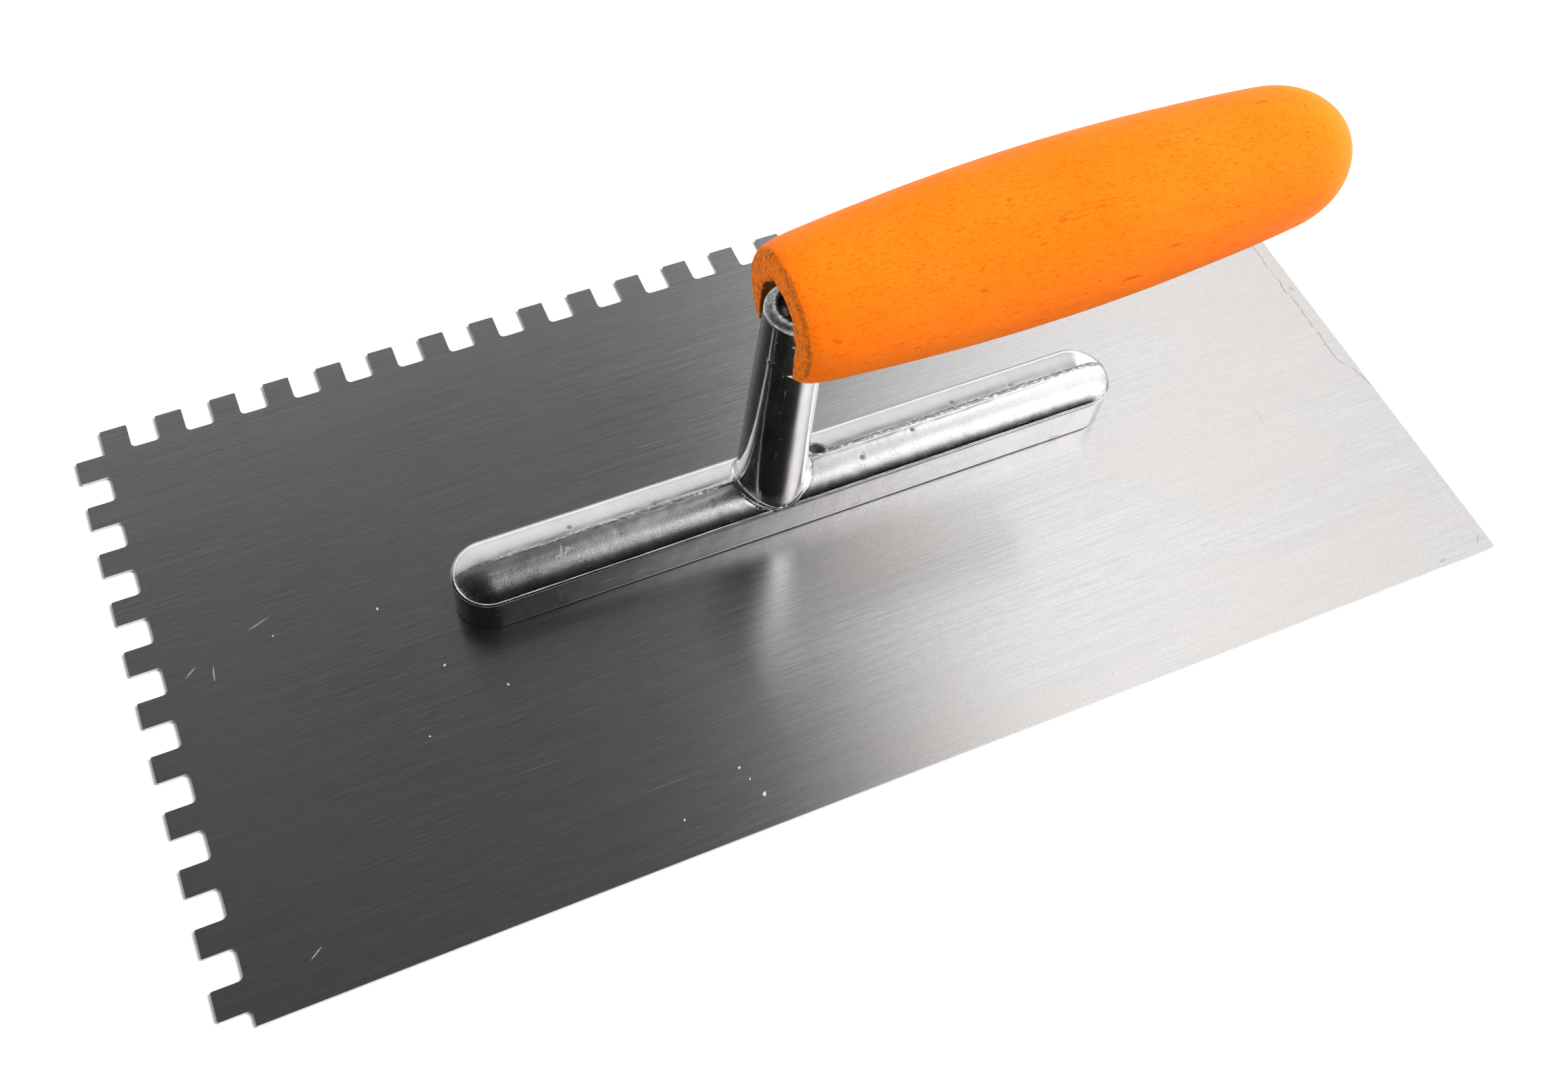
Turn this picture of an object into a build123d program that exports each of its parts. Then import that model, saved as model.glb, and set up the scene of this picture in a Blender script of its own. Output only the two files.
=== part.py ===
from build123d import *
import math
import os

# Notched trowel: a thin brushed blade with square notches on one short and one
# long edge, a cast bar with an upright post on top of it, and a turned wooden
# handle pushed onto the casting's tang.
# Origin: middle of the blade on its underside. +Z up, +X towards the plain
# short edge (the free end of the handle), +Y towards the notched long edge.
# Millimetres.

# ---- driving dimensions -----------------------------------------------------
BLADE_L = 268.0          # along X
BLADE_W = 130.0          # along Y
BLADE_T = 0.7

NOTCH = 6.0              # square notch, width and depth
TOOTH = 5.55             # tooth width between two notches
PITCH = NOTCH + TOOTH
SHORT_TEETH = 11         # teeth on the short edge
LONG_TEETH = 23          # teeth on the long edge
ROOT_R = 1.0             # inner corners of a notch
TIP_R = 0.3              # outer corners of a tooth
PLAIN_R = 0.6            # the two plain corners of the blade

BAR_X = 1.5              # middle of the bar along X
BAR_Y = -0.8             # middle of the bar along Y
BAR_L = 146.0
BAR_W = 15.0
BAR_SIDE_H = 9.4         # upright side of the bar
LEDGE = 0.2              # step between the side and the domed top
BAR_H = 12.6             # top of the dome over the blade

POST_X = -4.3            # axis of the post
POST_R_LOW = 7.1
POST_R_TOP = 5.8
POST_Z_LOW = 8.0         # start of the post inside the bar, over the blade
POST_H = 67.0            # top of the post over the blade
POST_EDGE = 0.8          # worn edge round the top of the post
POCKET_X = 1.0           # dished pocket in the top of the post, off its axis
POCKET_R = 4.0
POCKET_D = 2.4

TANG_Z = 61.9            # axis of the tang where it leaves the post, over the blade
TANG_R_ROOT = 4.9
TANG_R_TIP = 3.6
TANG_L = 74.0            # from the axis of the post

HANDLE_X = -7.8          # front face
HANDLE_Z = 65.1          # axis of the handle at its front face, over the blade
HANDLE_RISE = 1.25       # degrees that the handle rises towards its free end
HANDLE_L = 116.4
# distance from the front face and radius there
HANDLE_PROFILE = [
    (3.2, 13.15), (8.0, 13.80), (17.0, 14.55), (34.0, 15.60), (51.0, 16.05),
    (68.0, 15.85), (86.0, 14.90),
]
HANDLE_FACE_R = 11.6     # flat part of the front face
CAP_A = 17.0             # rounded free end: half axes of its ellipse
CAP_B = 13.7
CAP_START = 8.4          # degrees from its widest point where the barrel joins it

SLOT_W = 13.6            # slot in the front of the handle, open below
SLOT_TOP = 70.6          # top of the slot, over the blade
SLOT_END_X = 3.3         # back wall of the slot

RIVETS = 8
RIVET_PITCH = 18.0
RIVET_R = 2.0            # shank
RIVET_HEAD_R = 2.7       # flush head, ends on the blade's underside
RIVET_DEPTH = 6.0        # shank in the bar, over the blade

os.makedirs("parts", exist_ok=True)

Z0 = BLADE_T             # top of the blade


# ---- blade ------------------------------------------------------------------
def blade_outline():
    """Corner points of the blade, each with the radius of its corner."""
    x0, x1 = -BLADE_L / 2, BLADE_L / 2
    y0, y1 = -BLADE_W / 2, BLADE_W / 2
    xr = x0 + NOTCH                      # root line of the short edge
    yr = y1 - NOTCH                      # root line of the long edge
    pts = [(x1, y0, PLAIN_R), (xr, y0, 0.0)]
    # short edge, from the plain long edge up; the last tooth ends on yr
    start = yr - TOOTH - (SHORT_TEETH - 1) * PITCH
    for k in range(SHORT_TEETH):
        a = start + k * PITCH
        b = a + TOOTH
        pts += [(xr, a, ROOT_R), (x0, a, TIP_R), (x0, b, TIP_R)]
        if k < SHORT_TEETH - 1:
            pts.append((xr, b, ROOT_R))
    # the corner between the two toothed edges is one more notch
    pts.append((xr, yr, 0.0))
    for k in range(LONG_TEETH):
        a = xr + k * PITCH
        b = a + TOOTH
        if k > 0:
            pts.append((a, yr, ROOT_R))
        pts += [(a, y1, TIP_R), (b, y1, TIP_R), (b, yr, ROOT_R)]
    pts.append((x1, yr, TIP_R))
    return pts


def rounded_wire(pts):
    """Closed wire through the points, with each corner rounded to its radius."""
    edges = []
    n = len(pts)
    ends = []
    for i, (x, y, r) in enumerate(pts):
        p = Vector(x, y)
        a = Vector(*pts[i - 1][:2]) - p
        b = Vector(*pts[(i + 1) % n][:2]) - p
        if r <= 0 or abs(a.cross(b).Z) < 1e-9:
            ends.append((p, p, None))
            continue
        u, v = a.normalized(), b.normalized()
        start, finish = p + u * r, p + v * r     # all corners are square
        centre = p + u * r + v * r
        mid = centre + (p - centre).normalized() * r
        ends.append((start, finish, mid))
    for i in range(n):
        start, finish, mid = ends[i]
        if mid is not None:
            edges.append(Edge.make_three_point_arc(start, mid, finish))
        nxt = ends[(i + 1) % n][0]
        if (nxt - finish).length > 1e-6:
            edges.append(Edge.make_line(finish, nxt))
    return Wire(edges)


outline = blade_outline()
# the corner where the two root lines meet belongs to both toothed edges, so
# the point is dropped where it would lie in the middle of a straight run
clean = []
for i, p in enumerate(outline):
    q, s = outline[i - 1], outline[(i + 1) % len(outline)]
    cross = (p[0] - q[0]) * (s[1] - p[1]) - (p[1] - q[1]) * (s[0] - p[0])
    if abs(cross) > 1e-9:
        clean.append(p)
blade = extrude(Face(rounded_wire(clean)), BLADE_T, (0, 0, 1))

rivet_xs = [BAR_X + (i - (RIVETS - 1) / 2) * RIVET_PITCH for i in range(RIVETS)]


def rivet(x):
    """Flush rivet: a cone as deep as the blade and a shank up into the bar."""
    head = Solid.make_cone(RIVET_HEAD_R, RIVET_R, BLADE_T, Plane((x, BAR_Y, 0)))
    shank = Solid.make_cylinder(RIVET_R, RIVET_DEPTH, Plane((x, BAR_Y, Z0)))
    return head.fuse(shank).clean()


rivets = [rivet(x) for x in rivet_xs]
for x in rivet_xs:
    blade = blade - Solid.make_cone(RIVET_HEAD_R, RIVET_R, BLADE_T, Plane((x, BAR_Y, 0)))


# ---- casting: bar, post and tang ---------------------------------------------
r_bar = BAR_W / 2
xl, xr_ = BAR_X - BAR_L / 2 + r_bar, BAR_X + BAR_L / 2 - r_bar
side = extrude(
    Plane((BAR_X, BAR_Y, Z0)) * SlotOverall(BAR_L, BAR_W), BAR_SIDE_H, (0, 0, 1)
)

r_dome = r_bar - LEDGE
dome_h = BAR_H - BAR_SIDE_H
zd = Z0 + BAR_SIDE_H
# half of the domed section, from the middle out
base_z = zd - 1.0
half = Face(Wire([
    Edge.make_line((0, 0, base_z), (r_dome, 0, base_z)),
    Edge.make_line((r_dome, 0, base_z), (r_dome, 0, zd)),
    Edge.make_ellipse(r_dome, dome_h, plane=Plane((0, 0, zd), x_dir=(1, 0, 0), z_dir=(0, -1, 0)),
                      start_angle=0, end_angle=90),
    Edge.make_line((0, 0, zd + dome_h), (0, 0, base_z)),
]))
cap = revolve(half, Axis.Z, 360)
section = Plane.YZ * Face(Wire([
    Edge.make_line((-r_dome, base_z), (r_dome, base_z)),
    Edge.make_line((r_dome, base_z), (r_dome, zd)),
    Edge.make_ellipse(r_dome, dome_h, plane=Plane((0, zd, 0)), start_angle=0, end_angle=180),
    Edge.make_line((-r_dome, zd), (-r_dome, base_z)),
]))
run = extrude(Pos(xl, BAR_Y, 0) * section, xr_ - xl, (1, 0, 0))
casting = side + run + Pos(xl, BAR_Y, 0) * cap + Pos(xr_, BAR_Y, 0) * cap

slope = (POST_R_TOP - POST_R_LOW) / (POST_H - 10.0)
r_start = POST_R_LOW - slope * (10.0 - POST_Z_LOW)
r_edge = POST_R_TOP - slope * POST_EDGE
post = Solid.make_cone(
    r_start, r_edge, POST_H - POST_EDGE - POST_Z_LOW,
    Plane((POST_X, BAR_Y, Z0 + POST_Z_LOW)),
)
post_tip = Solid.make_cone(
    r_edge, r_edge - POST_EDGE, POST_EDGE,
    Plane((POST_X, BAR_Y, Z0 + POST_H - POST_EDGE)),
)
rise = math.radians(HANDLE_RISE)
along = Vector(math.cos(rise), 0, math.sin(rise))
tang_plane = Plane((POST_X, BAR_Y, Z0 + TANG_Z), x_dir=(0, 1, 0), z_dir=along)
tang = Solid.make_cone(TANG_R_ROOT, TANG_R_TIP, TANG_L, tang_plane)
casting = casting + post + post_tip + tang

pocket = Solid.make_cone(
    POCKET_R - 0.9, POCKET_R, POCKET_D,
    Plane((POST_X + POCKET_X, BAR_Y, Z0 + POST_H - POCKET_D)),
)
casting = casting - pocket
for x in rivet_xs:
    casting = casting - Solid.make_cylinder(RIVET_R, RIVET_DEPTH, Plane((x, BAR_Y, Z0)))


# ---- handle -------------------------------------------------------------------
handle_plane = Plane((HANDLE_X, BAR_Y, Z0 + HANDLE_Z), x_dir=(0, 0, 1), z_dir=along)
# profile in the plane of revolution: X is along the handle, Y is the radius
t0 = math.radians(CAP_START)
cap_mid = HANDLE_L - CAP_A
cap_join = (cap_mid + CAP_A * math.sin(t0), CAP_B * math.cos(t0))
barrel = Edge.make_spline(
    [Vector(s, r) for s, r in HANDLE_PROFILE + [cap_join]],
    tangents=[Vector(1.0, 0.34), Vector(1.0, -CAP_B / CAP_A * math.tan(t0))],
)
front = Edge.make_three_point_arc(
    (0.0, HANDLE_FACE_R), (1.15, 12.55), HANDLE_PROFILE[0]
)
end_cap = Edge.make_ellipse(
    CAP_A, CAP_B, plane=Plane((cap_mid, 0, 0)), start_angle=0, end_angle=90 - CAP_START
)
turned = Face(Wire([
    Edge.make_line((0, 0), (0, HANDLE_FACE_R)),
    front,
    barrel,
    end_cap,
    Edge.make_line((HANDLE_L, 0), (0, 0)),
]))
body = revolve(turned, Axis.X, 360)
# lay the turned body on its axis
handle = Pos(HANDLE_X, BAR_Y, Z0 + HANDLE_Z) * Rot(0, -HANDLE_RISE, 0) * body

slot_r = SLOT_W / 2
slot_z = Z0 + SLOT_TOP - slot_r
slot_face = Face(Wire([
    Edge.make_line((-slot_r, 0), (slot_r, 0)),
    Edge.make_line((slot_r, 0), (slot_r, slot_z)),
    Edge.make_three_point_arc((slot_r, slot_z), (0, slot_z + slot_r), (-slot_r, slot_z)),
    Edge.make_line((-slot_r, slot_z), (-slot_r, 0)),
]))
slot = extrude(
    Pos(HANDLE_X - 5, BAR_Y, 0) * (Plane.YZ * slot_face), SLOT_END_X - HANDLE_X + 5, (1, 0, 0)
)
handle = handle - slot
# bore for the tang, with a little air past the tang's end
handle = handle - tang
tip_plane = Plane(tang_plane.origin + along * TANG_L, x_dir=(0, 1, 0), z_dir=along)
handle = handle - Solid.make_cylinder(TANG_R_TIP, 2.5, tip_plane)


# ---- export ---------------------------------------------------------------------
def one(shape):
    """The single solid of a shape."""
    solids = shape.solids()
    assert len(solids) == 1, len(solids)
    return solids[0]


export_step(one(blade), "parts/blade.step")
export_step(one(casting), "parts/mounting_casting.step")
export_step(one(handle), "parts/handle.step")
export_step(Compound(children=[one(r) for r in rivets]), "parts/blade_rivets.step")
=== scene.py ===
import bpy, bmesh, math
import numpy as np
from mathutils import Vector, Matrix, noise, Quaternion


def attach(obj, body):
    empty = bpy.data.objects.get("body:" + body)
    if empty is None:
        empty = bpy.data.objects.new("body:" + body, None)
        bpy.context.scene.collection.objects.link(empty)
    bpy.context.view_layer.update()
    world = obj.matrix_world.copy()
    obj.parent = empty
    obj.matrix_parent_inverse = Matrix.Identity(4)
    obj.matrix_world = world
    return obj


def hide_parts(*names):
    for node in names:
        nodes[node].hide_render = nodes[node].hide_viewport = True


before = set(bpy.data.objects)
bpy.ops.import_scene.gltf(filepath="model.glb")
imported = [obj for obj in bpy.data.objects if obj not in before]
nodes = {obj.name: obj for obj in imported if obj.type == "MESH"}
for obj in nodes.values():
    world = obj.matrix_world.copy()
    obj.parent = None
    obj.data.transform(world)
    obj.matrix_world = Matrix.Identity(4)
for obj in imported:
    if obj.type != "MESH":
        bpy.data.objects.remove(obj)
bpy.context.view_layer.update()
MM = 0.001
scene = bpy.context.scene

# ---------------------------------------------------------------- dimensions
Z0 = 0.7                       # top of the blade
BLADE_L, BLADE_W = 268.0, 130.0
NOTCH, TOOTH = 6.0, 5.55
BAR_X, BAR_Y, BAR_L, BAR_W = 1.5, -0.8, 146.0, 15.0
SIDE_H, LEDGE, BAR_H = 9.4, 0.2, 12.6
POST_X, POST_R_LOW, POST_R_TOP, POST_H = -4.3, 7.1, 5.8, 67.0
TANG_Z, TANG_R_ROOT, TANG_R_TIP, TANG_L = 61.9, 4.9, 3.6, 74.0
HX, HZ, RISE, HL = -7.8, 65.1, math.radians(1.25), 116.4
PROFILE = [(3.2, 13.15), (8.0, 13.80), (17.0, 14.55), (34.0, 15.60), (51.0, 16.05),
           (68.0, 15.85), (86.0, 14.90)]
FACE_R, CAP_A, CAP_B, CAP_T0 = 11.6, 17.0, 13.7, math.radians(8.4)
SLOT_W, SLOT_TOP, SLOT_END_X = 13.6, 70.6, 3.3


# ---------------------------------------------------------------- small tools
def nz(x, y, z, seed=0.0):
    """Smooth noise, about -1 to 1."""
    return noise.noise(Vector((x + 17.3 * seed, y - 9.1 * seed, z + 4.7 * seed)))


def new_object(name, verts, faces, smooth=True):
    me = bpy.data.meshes.new(name)
    me.from_pydata([tuple(v) for v in verts], [], faces)
    me.validate()
    ob = bpy.data.objects.new(name, me)
    scene.collection.objects.link(ob)
    if smooth:
        me.polygons.foreach_set("use_smooth", [True] * len(me.polygons))
    return ob


def weld(ob, dist):
    bm = bmesh.new()
    bm.from_mesh(ob.data)
    bmesh.ops.remove_doubles(bm, verts=bm.verts, dist=dist)
    bmesh.ops.dissolve_degenerate(bm, edges=bm.edges, dist=dist * 0.1)
    bmesh.ops.recalc_face_normals(bm, faces=bm.faces)
    bm.to_mesh(ob.data)
    bm.free()


def boolean(ob, other, op):
    m = ob.modifiers.new("b", "BOOLEAN")
    m.operation = op
    m.solver = "EXACT"
    m.object = other
    bpy.context.view_layer.update()
    dg = bpy.context.evaluated_depsgraph_get()
    me = bpy.data.meshes.new_from_object(ob.evaluated_get(dg))
    ob.modifiers.clear()
    old = ob.data
    ob.data = me
    bpy.data.meshes.remove(old)
    bpy.data.objects.remove(other)
    me.polygons.foreach_set("use_smooth", [True] * len(me.polygons))


# ---------------------------------------------------------------- the casting
r_bar = BAR_W / 2
r_dome = r_bar - LEDGE
xl, xr = BAR_X - BAR_L / 2 + r_bar, BAR_X + BAR_L / 2 - r_bar

# small casting pits on the top of the bar: x, y from the bar's middle, radius, depth
PITS = [
    (6.45, 1.8, 0.85, 0.8), (7.35, 1.0, 0.62, 0.5), (6.9, 1.4, 0.62, 0.55),
    (14.6, -3.4, 0.35, 0.2), (-29.0, 1.2, 0.3, 0.15), (-46.5, 2.4, 0.35, 0.2),
    (27.0, -1.2, 0.3, 0.15), (38.0, 2.1, 0.3, 0.2), (51.5, 1.6, 0.28, 0.15),
    (-18.5, -2.6, 0.28, 0.15), (-38.0, -1.8, 0.25, 0.12),
]


def dome_at(rho, side):
    """Height of the bar's crowned top: flatter facet on the far side, full shoulder on the near side."""
    t = min(1.0, rho / r_dome)
    w = min(1.0, max(0.0, 0.5 + 0.5 * side))
    w = w * w * (3 - 2 * w)
    near = max(0.0, 1 - t ** 2.4) ** 0.74
    far = max(0.0, 1 - t ** 1.5) ** 0.60
    return SIDE_H + (BAR_H - SIDE_H) * (near * (1 - w) + far * w)


def dome_z(y):
    return dome_at(abs(y), 1.0 if y > 0 else -1.0)


def bar_rows():
    """Section of half the bar, from the middle of its base out and up to the ridge."""
    rows = [(0.0, 0.0), (4.0, 0.0), (6.6, 0.0), (7.2, 0.0), (7.40, 0.05), (7.5, 0.22)]
    rows += [(7.5, z) for z in (0.8, 2.0, 3.4, 4.8, 6.2, 7.4, 8.4, 8.9)]
    rows += [(7.48, 9.12), (7.40, 9.26), (7.22, 9.30), (7.12, 9.36), (7.18, 9.50)]
    for t in (6, 10, 15, 21, 27, 33, 39, 45, 51, 57, 63, 69, 74, 79):
        t = math.radians(t)
        rows.append((r_dome * math.cos(t), dome_z(r_dome * math.cos(t))))
    for rho in (1.15, 0.9, 0.7, 0.52, 0.38, 0.26, 0.14, 0.0):
        rows.append((rho, dome_z(rho)))
    return rows


def make_bar():
    rows = bar_rows()
    cols = []
    n = int((xr - xl) / 0.55)
    for i in range(n):
        cols.append((xl + (xr - xl) * i / n, 0.0, 0.0, -1.0))
    m = 44
    for i in range(m):
        a = -math.pi / 2 + math.pi * i / m
        cols.append((xr, 0.0, math.cos(a), math.sin(a)))
    for i in range(n):
        cols.append((xr + (xl - xr) * i / n, 0.0, 0.0, 1.0))
    for i in range(m):
        a = math.pi / 2 + math.pi * i / m
        cols.append((xl, 0.0, math.cos(a), math.sin(a)))
    verts, faces = [], []
    for (mx, my, nx, ny) in cols:
        for k, (rho, z) in enumerate(rows):
            x, y = mx + nx * rho, my + ny * rho
            if k > 18:
                z = dome_at(rho, ny)
            # hand-finished surfaces are never quite even
            if z > 0.3:
                w = 0.035 * nz(x / 14, y / 6, z / 9, 1) + 0.014 * nz(x / 3.1, y / 2.4, z / 3, 2)
                if k > 18:
                    w += 0.010 * nz(x / 1.1, y / 1.1, 0, 3)
                if 13 <= k <= 18:            # the ledge wanders a little
                    z += 0.05 * nz(x / 5, y / 5, 0, 4)
                x += nx * w
                y += ny * w
            if k > 18:
                up = 0.05 * nz(x / 11, y / 5, 0, 5) + 0.016 * nz(x / 2.2, y / 1.6, 0, 6)
                # seam left by the two halves of the mould, along the ridge
                mid = 0.35 + 0.22 * nz(x / 9, 0, 0, 7) + 0.10 * nz(x / 1.7, 0, 0, 8)
                t = (y - mid) / 0.30
                keep = 0.5 + 0.5 * min(1, max(-1, 2.2 * nz(x / 4.5, 0, 0, 9) + 0.5))
                end = min(1, max(0, (x - xl) / 4)) * min(1, max(0, (xr - x) / 4))
                seam = (0.16 + 0.10 * nz(x / 0.8, 1, 0, 10)) * math.exp(-t * t) * keep * end
                t2 = (y - mid - 0.75) / 0.35
                seam -= 0.07 * math.exp(-t2 * t2) * keep * end
                t3 = (y - mid + 0.75) / 0.35
                seam -= 0.05 * math.exp(-t3 * t3) * keep * end
                up += seam
                for px, py, pr, pd in PITS:
                    d2 = ((x - px) ** 2 + (y - py) ** 2) / (pr * pr)
                    if d2 < 9:
                        rag = 1 + 0.35 * nz(x / 0.5, y / 0.5, 0, 11)
                        up -= pd * math.exp(-(d2 * rag) ** 1.5)
                z += min(up, 0.22)
            verts.append(((x) * MM, (BAR_Y + y) * MM, (Z0 + z) * MM))
    nr, nc = len(rows), len(cols)
    for c in range(nc):
        d = (c + 1) % nc
        for k in range(nr - 1):
            faces.append((c * nr + k, d * nr + k, d * nr + k + 1, c * nr + k + 1))
    ob = new_object("casting", verts, faces)
    weld(ob, 2e-6)
    return ob


def make_post():
    """The post as turned rows, flared where it grows out of the bar."""
    slope = (POST_R_TOP - POST_R_LOW) / (POST_H - 10.0)
    na = 112
    rows = []                                   # each row: function of the angle -> (r, z)

    def rad(z):
        return POST_R_LOW + slope * (z - 10.0)

    F = 1.9

    def low_rows(a):
        sx = abs(math.cos(a))
        f = 0.45 + (F - 0.45) * sx ** 1.5
        y = math.sin(a) * (rad(11) + 0.3)
        zd = dome_z(y * 0.99)
        f *= 1 + 0.18 * nz(3 * math.cos(a), 3 * math.sin(a), 0, 21)
        out = []
        stop = math.radians(66)
        # arc from the end of the flare up to the straight post
        r_mid, z_mid = rad(zd + f) + f, zd + f
        er = r_mid - f * math.cos(stop)
        ez = z_mid - f * math.sin(stop)
        out.append((er - 1.2, ez - 3.2))
        out.append((er + 0.02, ez - 1.0))
        for i in range(8):
            t = stop * (1 - i / 7)
            out.append((r_mid - f * math.cos(t), z_mid - f * math.sin(t)))
        return out, z_mid

    cols = []
    top = POST_H
    n = 96
    for i in range(na):
        a = 2 * math.pi * i / na
        low, zs = low_rows(a)
        col = list(low)
        for k in range(1, n + 1):
            z = zs + (top - 1.25 - zs) * k / n
            r = rad(z)
            # long uneven strokes of the polishing belt
            r += 0.05 * nz(1.6 * math.cos(a), 1.6 * math.sin(a), z / 26, 22)
            r += 0.018 * nz(5 * math.cos(a), 5 * math.sin(a), z / 16, 23)
            r += 0.008 * nz(11 * math.cos(a), 11 * math.sin(a), z / 5, 24)
            # a thin slanted line round the post, below the slot
            zr = 55.6 - 2.6 * math.cos(a + 0.9) + 0.3 * nz(2 * math.cos(a), 2 * math.sin(a), 0, 25)
            r -= 0.10 * math.exp(-((z - zr) / 0.30) ** 2)
            if z > zr:
                r -= 0.03
            col.append((r, z))
        # worn edge: broad on the far left, narrow on the near side
        far = 0.5 + 0.5 * math.cos(a - math.radians(150))
        e = 0.75 + 1.25 * far ** 1.5
        e *= 1 + 0.12 * nz(4 * math.cos(a), 4 * math.sin(a), 0, 26)
        r1 = rad(top) - 0.02
        for t in (15, 32, 50, 68, 85):
            t = math.radians(t)
            col.append((r1 - e * (1 - math.cos(t)), top - 1.25 + 1.25 * math.sin(t)))
        cols.append(col)
    nr = len(cols[0])
    verts, faces = [], []
    for i, col in enumerate(cols):
        a = 2 * math.pi * i / na
        for r, z in col:
            verts.append(((POST_X + r * math.cos(a)) * MM, (BAR_Y + r * math.sin(a)) * MM, (Z0 + z) * MM))
    # ground top with a dished pocket, off the axis
    tops = []
    px, py = 0.85, 0.0
    rings = [(0.985, 0.0), (0.93, -0.03), (0.86, -0.02), (0.80, -0.10), (0.76, -0.5), (0.72, -1.3), (0.66, -1.9), (0.5, -2.2), (0.25, -2.35)]
    base_ring = [cols[i][-1] for i in range(na)]
    for s, dz in rings:
        ring = []
        for i in range(na):
            a = 2 * math.pi * i / na
            r, z = base_ring[i]
            ox, oy = r * math.cos(a), r * math.sin(a)
            # blend from the outside edge to a circle round the pocket's middle
            w = min(1.0, (1.0 - s) / 0.2)
            cx, cy = px + 4.3 * (s / 0.80) * math.cos(a), py + 4.3 * (s / 0.80) * math.sin(a)
            x = ox * s * (1 - w) + cx * w if w < 1 else cx
            y = oy * s * (1 - w) + cy * w if w < 1 else cy
            rough = 0.10 * nz(x / 0.6, y / 0.6, 0, 27) + 0.07 * nz(x / 1.6, y / 1.6, 0, 28) - 0.08
            ring.append(len(verts))
            verts.append(((POST_X + x) * MM, (BAR_Y + y) * MM, (Z0 + z + dz + rough) * MM))
        tops.append(ring)
    centre_low = len(verts)
    verts.append((POST_X * MM, BAR_Y * MM, (Z0 + 4.0) * MM))
    centre_top = len(verts)
    verts.append(((POST_X + px) * MM, (BAR_Y + py) * MM, (Z0 + POST_H - 2.4) * MM))
    for i in range(na):
        j = (i + 1) % na
        for k in range(nr - 1):
            faces.append((i * nr + k, j * nr + k, j * nr + k + 1, i * nr + k + 1))
        faces.append((centre_low, j * nr, i * nr))
        last = i * nr + nr - 1, j * nr + nr - 1
        prev = last
        for ring in tops:
            faces.append((prev[0], prev[1], ring[j], ring[i]))
            prev = ring[i], ring[j]
        faces.append((prev[0], prev[1], centre_top))
    ob = new_object("post", verts, faces)
    weld(ob, 1e-6)
    return ob


def make_tang():
    na, ns = 64, 60
    ax = Vector((math.cos(RISE), 0, math.sin(RISE)))
    e1 = Vector((0, 1, 0))
    e2 = ax.cross(e1)
    o = Vector((POST_X, BAR_Y, Z0 + TANG_Z))
    prof = []
    for k in range(ns + 1):
        s = (TANG_L - 1.0) * k / ns
        prof.append((s, TANG_R_ROOT + (TANG_R_TIP - TANG_R_ROOT) * s / TANG_L - 0.03))
    for t in (30, 60, 90):
        t = math.radians(t)
        prof.append((TANG_L - 1.0 + math.sin(t), TANG_R_TIP - 0.03 - 1.0 * (1 - math.cos(t))))
    verts, faces = [], []
    for s, r in prof:
        for i in range(na):
            a = 2 * math.pi * i / na
            w = 0.03 * nz(s / 6, 2 * math.cos(a), 2 * math.sin(a), 31)
            p = o + ax * s + (e1 * math.cos(a) + e2 * math.sin(a)) * (r - abs(w))
            verts.append(tuple(p * MM))
    n = len(prof)
    for k in range(n - 1):
        for i in range(na):
            j = (i + 1) % na
            faces.append((k * na + i, k * na + j, (k + 1) * na + j, (k + 1) * na + i))
    faces.append(tuple(range(na)))
    faces.append(tuple((n - 1) * na + i for i in range(na)))
    ob = new_object("tang", verts, faces)
    weld(ob, 1e-6)
    return ob


casting = make_bar()
post = make_post()
tang = make_tang()
boolean(post, tang, "UNION")
boolean(casting, post, "UNION")


def settle(ob, near, passes):
    """Evens out the vertices that near(co) picks, by a weight from 0 to 1."""
    bm = bmesh.new()
    bm.from_mesh(ob.data)
    bmesh.ops.remove_doubles(bm, verts=bm.verts, dist=3e-5)
    bm.verts.ensure_lookup_table()
    picked = []
    for v in bm.verts:
        w = near(v.co)
        if w > 0:
            picked.append((v, w))
    for _ in range(passes):
        moves = []
        for v, w in picked:
            ns = [e.other_vert(v).co for e in v.link_edges]
            if not ns:
                continue
            c = sum(ns, Vector()) / len(ns)
            moves.append((v, v.co.lerp(c, 0.5 * w)))
        for v, co in moves:
            v.co = co
    bmesh.ops.recalc_face_normals(bm, faces=bm.faces)
    bm.to_mesh(ob.data)
    bm.free()
    ob.data.polygons.foreach_set("use_smooth", [True] * len(ob.data.polygons))


def at_root(co):
    x, y, z = co.x / MM - POST_X, co.y / MM - BAR_Y, co.z / MM - Z0
    r = math.hypot(x, y)
    if z > 15 or z < 9.45 or r > 10.5:
        return 0.0
    zd = dome_z(y)
    d = abs(z - zd - 0.3)
    # keep the ledge and the post's own wall as they are
    return max(0.0, 1 - d / 1.2) * min(1.0, max(0.0, (z - 9.45) / 0.35)) * (1.0 if r > 6.9 else 0.0)


settle(casting, at_root, 4)


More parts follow.
